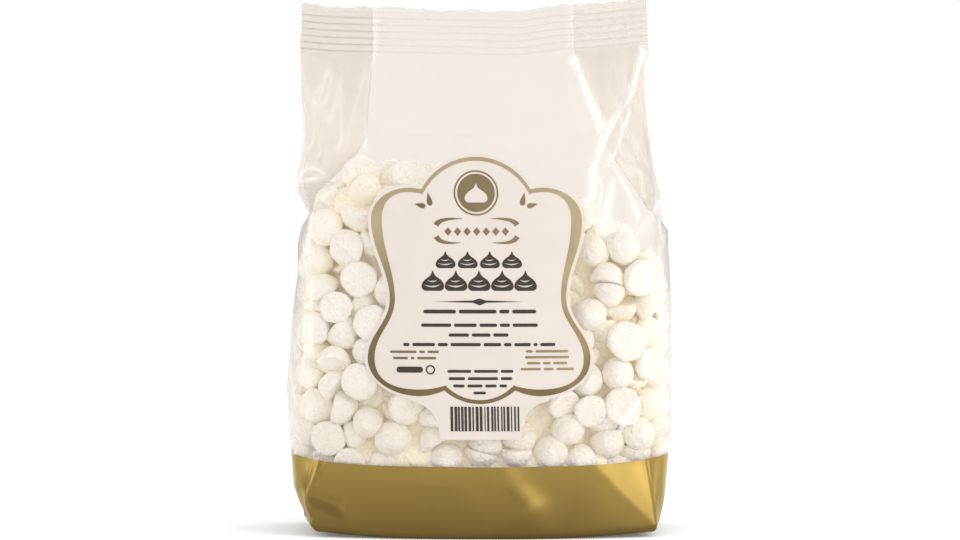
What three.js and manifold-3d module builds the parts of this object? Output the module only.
// A sealed, see-through film bag of small meringue drops, standing on its block bottom.
//
// The bag is a tube of clear film with a tucked gusset down each side. It is folded square at the
// bottom and crimped shut at the top. The meringues swell its lower part, and the empty film above
// them closes like a wedge to the seal, with the gussets folded in between the front and the back.
// The film and what it holds are one solid, "bag". Its print is three thin skins: a gold band round
// the foot, a white panel on the front, and the gold frame on that panel.
//
// Millimetres, +Z up, the front faces -Y, and the origin is the middle of the base.

import * as THREE from "three";
import { mergeVertices } from "three/addons/utils/BufferGeometryUtils.js";
import Module from "manifold-3d";

const wasm = await Module();
wasm.setup();

// ---- Driving dimensions -------------------------------------------------------------------------

const PANEL_WIDTH = 140; // flat width of the front and of the back
const GUSSET_DEPTH = 60; // full width of the film tucked into each side
const BAG_HEIGHT = 211; // base to the middle of the top edge
const SEAL_HEIGHT = 19; // crimped strip at the top
const FILL_HEIGHT = 150; // where the meringues end
const DROP_PITCH = 400 / 26; // spacing of the meringues that press on the film
const GOLD_HEIGHT = 29; // top of the gold print

const WEB = 2 * (PANEL_WIDTH + GUSSET_DEPTH); // distance round the film tube
const CORNER_X = PANEL_WIDTH / 2;
const CORNER_Y = GUSSET_DEPTH / 2;
const SEAL_FOOT = BAG_HEIGHT - SEAL_HEIGHT;

const SIDE_SWELL = 7.2; // how far the filled sides bulge past the flat width
const FRONT_SWELL = 8.5; // the same for the front and the back
const BASE_BOW = 3.5; // how far the long edges of the base are pushed out in their middle
const SWELL_HEIGHT = 160; // where the bulge ends
const CLOSE_START = 130; // above this the front and the back lean together
const GUSSET_OPENS = { left: 146, right: 131 }; // below these the gussets are pushed flat
const GUSSET_SHUT = SEAL_FOOT - 2; // where the folded gusset is pressed closed
const CORNER_ROUNDING = 6.5; // how softly the four upright folds turn, where the bag is fullest

const SEAL_HALF_THICKNESS = 0.6;
const CRIMP_PITCH = 2.72;
const CRIMP_DEPTH = 0.4;
const TOOTH_PITCH = 4.4; // zigzag cut of the top edge
const TOOTH_DEPTH = 1.1;
const TRIM = 0.6; // sealed film that the zigzag cut takes off above its teeth
const EDGE_RISE = { left: 1.2, right: 4 }; // how far the ends of the top edge stand above its middle
const SEAL_SWAY = 2.2; // slow wave of the sealed strip, front to back

const BASE_TURN = 2.6; // radius of the fold round the base
const BUMP_HEIGHT = 1.5; // how far a meringue pushes the film out
const FIN_WIDTH = 10; // long seam down the middle of the back, laid flat
const FIN_HEIGHT = 0.7;
const LEAN = 4; // how far the top leans to the left of the base

const COLUMN = 5; // grid step round the bag
const ROW = 6.6; // grid step up the filled part

const INK_GAP = 0.3; // clearance between one skin and the next
const INK_THICKNESS = 0.3;

// ---- Small helpers ------------------------------------------------------------------------------

const clamp01 = (t) => Math.min(1, Math.max(0, t));
const ramp = (from, to, t) => THREE.MathUtils.smoothstep(t, from, to);
const steps = (count) => Array.from({ length: count }, (_, i) => i);
const spread = (from, to, count) => steps(count).map((j) => from + ((j + 1) * (to - from)) / count);

// A repeatable number from 0 to 1 for a pair of whole numbers.
function scatter(i, j) {
  const wave = Math.sin(i * 127.1 + j * 311.7) * 43758.5453;
  return wave - Math.floor(wave);
}

function solidOf(geometry) {
  const bare = new THREE.BufferGeometry().setAttribute("position", geometry.getAttribute("position"));
  if (geometry.index) bare.setIndex(geometry.index);
  const merged = mergeVertices(bare, 1e-4);
  return new wasm.Manifold(
    new wasm.Mesh({
      numProp: 3,
      vertProperties: new Float32Array(merged.getAttribute("position").array),
      triVerts: new Uint32Array(merged.index.array),
    }),
  );
}

function geometryOf(solid) {
  const mesh = solid.getMesh();
  const geometry = new THREE.BufferGeometry();
  geometry.setAttribute("position", new THREE.BufferAttribute(mesh.vertProperties, 3));
  geometry.setIndex(new THREE.BufferAttribute(mesh.triVerts, 1));
  geometry.computeVertexNormals();
  return geometry;
}

function geometryFrom(points, triangles) {
  const geometry = new THREE.BufferGeometry();
  const numbers = points.flatMap((p) => [p.x, p.y, p.z]);
  geometry.setAttribute("position", new THREE.Float32BufferAttribute(numbers, 3));
  geometry.setIndex(triangles);
  return geometry;
}

// ---- The film's surface -------------------------------------------------------------------------
// A place on the film is (s, z): s runs round the tube from the front left fold, and z is height.

// The belly that the meringues give the bag: fullest at a third of its height, nothing at the ends.
const swell = (z) => Math.max(0, Math.sin(Math.PI * clamp01(z / SWELL_HEIGHT) ** 0.7)) ** 0.8;

// Half the distance between the front and the back at their folds.
function cornerY(z) {
  const closing = clamp01((z - CLOSE_START) / (SEAL_FOOT - CLOSE_START));
  return SEAL_HALF_THICKNESS + (CORNER_Y - SEAL_HALF_THICKNESS) * (1 - closing ** 1.25);
}

// How far a gusset is folded in at a height, on the "left" or the "right".
function foldDepth(z, side) {
  const opens = GUSSET_OPENS[side];
  const slack = Math.sqrt(Math.max(0, CORNER_Y ** 2 - cornerY(z) ** 2));
  return slack * ramp(opens, opens + 14, z) * (1 - ramp(SEAL_FOOT - 15, GUSSET_SHUT, z));
}

// The outline of the bag at a height, with sharp folds.
function sharpOutline(s, z) {
  const place = ((s % WEB) + WEB) % WEB;
  const isBack = place >= PANEL_WIDTH + GUSSET_DEPTH;
  const along = isBack ? place - PANEL_WIDTH - GUSSET_DEPTH : place;
  const turn = isBack ? -1 : 1; // the back half is the front half turned round
  const halfDepth = cornerY(z);
  if (along < PANEL_WIDTH) {
    const t = along / CORNER_X - 1;
    const belly = FRONT_SWELL * swell(z) + BASE_BOW * (1 - ramp(0, SWELL_HEIGHT / 2, z));
    return new THREE.Vector2(turn * CORNER_X * t, -turn * (halfDepth + belly * (1 - t * t)));
  }
  const t = (along - PANEL_WIDTH) / CORNER_Y - 1;
  const outwards = SIDE_SWELL * swell(z) * (1 - t * t);
  const inwards = foldDepth(z, isBack ? "left" : "right") * (1 - Math.abs(t));
  return new THREE.Vector2(turn * (CORNER_X + outwards - inwards), turn * halfDepth * t);
}

// The same outline with its folds rounded, by averaging it over a short stretch of film.
function roundedOutline(s, z) {
  const radius = 1 + CORNER_ROUNDING * swell(z) ** 2;
  const sum = new THREE.Vector2();
  let total = 0;
  for (let k = -4; k <= 4; k++) {
    const weight = Math.exp(-k * k / 5);
    sum.addScaledVector(sharpOutline(s + k * radius * 0.5, z), weight);
    total += weight;
  }
  return sum.divideScalar(total);
}

function outwardNormal(s, z) {
  const tangent = roundedOutline(s + 1, z).sub(roundedOutline(s - 1, z)).normalize();
  return new THREE.Vector2(tangent.y, -tangent.x);
}

// The film pushed out by the meringues behind it: rounded bumps on a loose hexagonal pattern.
function bump(s, z) {
  const rowPitch = DROP_PITCH * Math.sqrt(0.75);
  const around = Math.round(WEB / DROP_PITCH);
  const row = Math.round(z / rowPitch);
  let nearest = Infinity;
  for (const j of [row - 1, row, row + 1]) {
    const shift = j % 2 ? 0.5 : 0;
    const column = Math.round(s / DROP_PITCH - shift);
    for (const i of [column - 1, column, column + 1]) {
      const wrapped = ((i % around) + around) % around;
      const ds = s - (i + shift + 0.3 * (scatter(wrapped, j) - 0.5)) * DROP_PITCH;
      const dz = z - (j + 0.3 * (scatter(j, wrapped) - 0.5)) * rowPitch;
      nearest = Math.min(nearest, ds * ds + dz * dz);
    }
  }
  const crown = Math.max(0, 1 - nearest / (0.55 * DROP_PITCH) ** 2);
  return BUMP_HEIGHT * crown * ramp(4, 30, z) * (1 - ramp(FILL_HEIGHT - 22, FILL_HEIGHT - 4, z));
}

// The long seam: a flat strip that stands a little proud of the back.
function fin(s) {
  const backMiddle = PANEL_WIDTH + GUSSET_DEPTH + PANEL_WIDTH / 2;
  return FIN_HEIGHT * (1 - ramp(FIN_WIDTH / 2, FIN_WIDTH / 2 + 1.5, Math.abs(s - backMiddle)));
}

// How far the film stands above its own height at x: the sealed edge sags in the middle.
function edgeRise(x) {
  const reach = (x + 8) / (CORNER_X + 8);
  return reach > 0 ? EDGE_RISE.right * reach ** 2 : EDGE_RISE.left * reach ** 2;
}

// The crimped strip waves over and under its middle plane, once in each pitch.
function crimp(z) {
  if (z < SEAL_FOOT + 0.1) return 0;
  const half = Math.round((z - SEAL_FOOT) / (CRIMP_PITCH / 2));
  return half % 2 ? CRIMP_DEPTH : -CRIMP_DEPTH;
}

// A point of the film, moved out by grow.
function filmPoint(s, z, grow = 0) {
  const flat = roundedOutline(s, z);
  const out = outwardNormal(s, z);
  const sealed = ramp(FILL_HEIGHT, SEAL_FOOT, z);
  const turned = z < BASE_TURN ? BASE_TURN - Math.sqrt(BASE_TURN ** 2 - (BASE_TURN - z) ** 2) : 0;
  const flatBase = ramp(0, BASE_TURN, z);
  const relief = z > SEAL_FOOT ? 0 : flatBase * (bump(s, z) + fin(s) * (1 - sealed)) - turned;
  flat.addScaledVector(out, relief + grow);
  const sway = SEAL_SWAY * Math.sin((flat.x / CORNER_X) * 2.6 + 0.5) * sealed;
  return new THREE.Vector3(
    flat.x + LEAN * (0.5 - z / BAG_HEIGHT),
    flat.y + sway + crimp(z),
    z + edgeRise(flat.x) * ramp(FILL_HEIGHT - 10, SEAL_FOOT, z),
  );
}

// ---- Solids -------------------------------------------------------------------------------------

// Closed rings of points, joined into a skin, with each end shut by end(ring, points).
function loft(rings, shutBottom, shutTop) {
  const count = rings[0].length;
  const points = rings.flat();
  const triangles = [];
  for (let j = 0; j + 1 < rings.length; j++) {
    for (let i = 0; i < count; i++) {
      const a = j * count + i;
      const b = j * count + ((i + 1) % count);
      triangles.push(a, b, b + count, a, b + count, a + count);
    }
  }
  shutBottom(points, triangles, 0, count);
  shutTop(points, triangles, (rings.length - 1) * count, count);
  return geometryFrom(points, triangles);
}

// The base: a flat fan from the origin's place.
function shutFlat(points, triangles, first, count) {
  const middle = points.length;
  points.push(new THREE.Vector3(0, 0, points[first].z));
  for (let i = 0; i < count; i++) triangles.push(middle, first + ((i + 1) % count), first + i);
}

// The sealed edge: the front half of the ring is stitched to the back half.
function shutSlit(points, triangles, first, count) {
  const gusset = GUSSET_DEPTH / COLUMN;
  const span = PANEL_WIDTH / COLUMN + gusset;
  const start = count - gusset / 2; // the middle of the left gusset
  const front = (k) => first + ((start + k) % count);
  const back = (k) => first + ((start - k + count) % count);
  for (let k = 0; k < span; k++) {
    if (k > 0) triangles.push(front(k), front(k + 1), back(k));
    if (k + 1 < span) triangles.push(front(k + 1), back(k + 1), back(k));
  }
}

// The grid, shared by the bag and the skins so that their faces lie side by side.
const BAND_ROWS = [BASE_TURN, ...spread(BASE_TURN, GOLD_HEIGHT, 4)];
const FILL_ROWS = spread(GOLD_HEIGHT, FILL_HEIGHT, Math.round((FILL_HEIGHT - GOLD_HEIGHT) / ROW));
const WEDGE_ROWS = spread(FILL_HEIGHT, SEAL_FOOT, 7);
const RIDGES = Math.round((2 * (SEAL_HEIGHT + TRIM)) / CRIMP_PITCH);
const SEAL_ROWS = spread(SEAL_FOOT, BAG_HEIGHT + TRIM, RIDGES);
const BAG_ROWS = [0, 0.3 * BASE_TURN, ...BAND_ROWS, ...FILL_ROWS, ...WEDGE_ROWS, ...SEAL_ROWS];
const BAG_COLUMNS = steps(WEB / COLUMN).map((i) => i * COLUMN);

// The zigzag of the top edge, as the prism of air above it.
function edgeCutter() {
  const half = CORNER_X + 10;
  const teeth = Math.ceil((2 * half) / TOOTH_PITCH);
  const outline = new THREE.Shape();
  for (let k = 0; k <= 2 * teeth; k++) {
    const x = -half + (k * TOOTH_PITCH) / 2;
    const z = BAG_HEIGHT + edgeRise(x) - (k % 2 ? TOOTH_DEPTH : 0);
    if (k) outline.lineTo(x, z);
    else outline.moveTo(x, z);
  }
  outline.lineTo(half + TOOTH_PITCH, BAG_HEIGHT + 30);
  outline.lineTo(-half, BAG_HEIGHT + 30);
  return prism(outline, 40);
}

function bagSolid() {
  const rings = BAG_ROWS.map((z) => BAG_COLUMNS.map((s) => filmPoint(s, z)));
  return solidOf(loft(rings, shutFlat, shutSlit)).subtract(edgeCutter());
}

// A shape drawn in x and z, pushed through the bag from front to back.
function prism(shape, depth) {
  const made = new THREE.ExtrudeGeometry(shape, { depth, bevelEnabled: false, curveSegments: 10 });
  made.translate(0, 0, -depth / 2);
  made.rotateX(Math.PI / 2);
  return solidOf(made);
}

// A thin sheet of ink that lies gap outside the film, over the given part of the grid.
function ink(columns, rows, gap, isRing) {
  const sheet = (grow) => rows.flatMap((z) => columns.map((s) => filmPoint(s, z, grow)));
  const count = columns.length;
  const inner = count * rows.length;
  const triangles = [];
  const face = (...corners) => triangles.push(...corners);
  const wall = (p, q) => face(q, p, p + inner, q, p + inner, q + inner);
  for (let j = 0; j + 1 < rows.length; j++) {
    for (let i = 0; i < (isRing ? count : count - 1); i++) {
      const a = j * count + i;
      const b = j * count + ((i + 1) % count);
      const [c, d] = [b + count, a + count];
      face(a, b, c, a, c, d);
      face(a + inner, c + inner, b + inner, a + inner, d + inner, c + inner);
      if (j === 0) wall(a, b);
      if (j + 2 === rows.length) wall(c, d);
      if (!isRing && i === 0) wall(d, a);
      if (!isRing && i + 2 === count) wall(b, c);
    }
  }
  return geometryFrom([...sheet(gap + INK_THICKNESS), ...sheet(gap)], triangles);
}

// The gold print is a sleeve round the foot. It ends above the base, which rests on the floor.
function goldBand() {
  return ink(BAG_COLUMNS, BAND_ROWS, INK_GAP, true);
}

// A sheet over the whole of the label's place, to be cut to an outline.
function frontSheet(gap) {
  const columns = BAG_COLUMNS.filter((s) => s > 15 && s < PANEL_WIDTH - 15);
  return solidOf(ink(columns, [GOLD_HEIGHT, ...FILL_ROWS, WEDGE_ROWS[0]], gap, false));
}

// ---- The label's outline ------------------------------------------------------------------------
// Half of a baroque frame, drawn on the right and mirrored. Each named place is [x, z, ox, oz]:
// where it lies, and the way it moves when the outline is drawn wider.

const FRAME = {
  peak: [0, 151, 0, 1],
  foot: [21.5, 138, 0.35, 1.15],
  shoulder: [40.8, 127, 1, 0],
  waist: [34, 96, 1, 0],
  hip: [43.2, 70.5, 1, 0],
  low: [24, 57, 0, -1],
  notch: [13.8, 59, 0.3, -1.1],
  lobe: [0, 53.3, 0, -1],
};

// Half the width of the gold line at each place: thick on the shoulders and fine at the waist.
const STROKE = {
  peak: 0.85,
  foot: 0.7,
  shoulder: 1.8,
  waist: 0.6,
  hip: 1.1,
  low: 0.9,
  notch: 0.7,
  lobe: 0.7,
};

const PANEL_MARGIN = 2.2; // white beyond the gold line
const TAB = { top: 57, flare: 27, half: 15.8, bottom: 38.8 }; // white field under the frame

// The frame's outline at a number of half strokes from the middle of its line, plus a margin.
function framePlaces(strokes, margin) {
  const moved = Object.entries(FRAME).map(([name, [x, z, ox, oz]]) => {
    const by = strokes * STROKE[name] + margin;
    return [name, new THREE.Vector2(x + ox * by, z + oz * by)];
  });
  return Object.fromEntries(moved);
}

// The right half of the outline as curves, from the peak down to the lobe.
function rightHalf({ peak, foot, shoulder, waist, hip, low, notch, lobe }) {
  const off = (place, dx, dz) => new THREE.Vector2(place.x + dx, place.y + dz);
  return [
    arcThrough(peak, foot),
    new THREE.CubicBezierCurve(foot, off(foot, 9, 2.6), off(shoulder, 0, 9.5), shoulder),
    new THREE.CubicBezierCurve(shoulder, off(shoulder, 0, -12), off(waist, 0, 11), waist),
    new THREE.CubicBezierCurve(waist, off(waist, 0, -10), off(hip, 0, 10), hip),
    new THREE.CubicBezierCurve(hip, off(hip, 0, -9), off(low, 10, 0), low),
    new THREE.QuadraticBezierCurve(low, off(low, notch.x + 5 - low.x, 0), notch),
    arcThrough(lobe, notch, true),
  ];
}

// A round arc with its crown on the middle line, from the crown to the side, or back to the crown.
function arcThrough(crown, side, back = false) {
  const drop = crown.y - side.y; // below zero where the crown is the lowest place
  const radius = (side.x ** 2 + drop ** 2) / (2 * drop);
  const middle = crown.y - radius;
  const size = Math.abs(radius);
  const ends = [(Math.sign(radius) * Math.PI) / 2, Math.asin((side.y - middle) / size)];
  if (back) ends.reverse();
  return new THREE.EllipseCurve(0, middle, size, size, ends[0], ends[1], ends[1] < ends[0]);
}

function frameShape(strokes, margin) {
  const places = framePlaces(strokes, margin);
  const half = rightHalf(places).flatMap((curve) => curve.getPoints(7).slice(0, -1));
  const mirrored = half.slice(1).reverse().map((p) => new THREE.Vector2(-p.x, p.y));
  return new THREE.Shape([...half, places.lobe, ...mirrored]);
}

function tabShape() {
  const shape = new THREE.Shape();
  shape.moveTo(-TAB.flare, TAB.top);
  shape.quadraticCurveTo(-TAB.half, TAB.top - 4, -TAB.half, TAB.bottom);
  shape.lineTo(TAB.half, TAB.bottom);
  shape.quadraticCurveTo(TAB.half, TAB.top - 4, TAB.flare, TAB.top);
  return shape;
}

const labelDepth = 200;

function labelPanel() {
  const outline = prism(frameShape(1, PANEL_MARGIN), labelDepth).add(prism(tabShape(), labelDepth));
  return frontSheet(INK_GAP).intersect(outline);
}

function labelFrame() {
  const ring = prism(frameShape(1, 0), labelDepth).subtract(prism(frameShape(-1, 0), labelDepth));
  return frontSheet(2 * INK_GAP + INK_THICKNESS).intersect(ring);
}

// ---- The object ---------------------------------------------------------------------------------

const meringueInFilm = new THREE.MeshStandardMaterial({ color: 0xf1ebdd, roughness: 0.35, metalness: 0 });
const goldInk = new THREE.MeshStandardMaterial({ color: 0x9c7f3c, roughness: 0.38, metalness: 0.9 });
const whiteInk = new THREE.MeshStandardMaterial({ color: 0xebe2dc, roughness: 0.4, metalness: 0 });

function named(name, geometry, material) {
  const mesh = new THREE.Mesh(geometry, material);
  mesh.name = name;
  return mesh;
}

const object = new THREE.Group();
object.add(
  named("bag", geometryOf(bagSolid()), meringueInFilm),
  named("gold_band", goldBand(), goldInk),
  named("label_panel", geometryOf(labelPanel()), whiteInk),
  named("label_frame", geometryOf(labelFrame()), goldInk),
);

// The origin is the middle of the base: everything moves by the middle of its own box.
const middle = new THREE.Box3().setFromObject(object).getCenter(new THREE.Vector3());
object.children.forEach((mesh) => mesh.position.set(-middle.x, -middle.y, 0));

export default object;
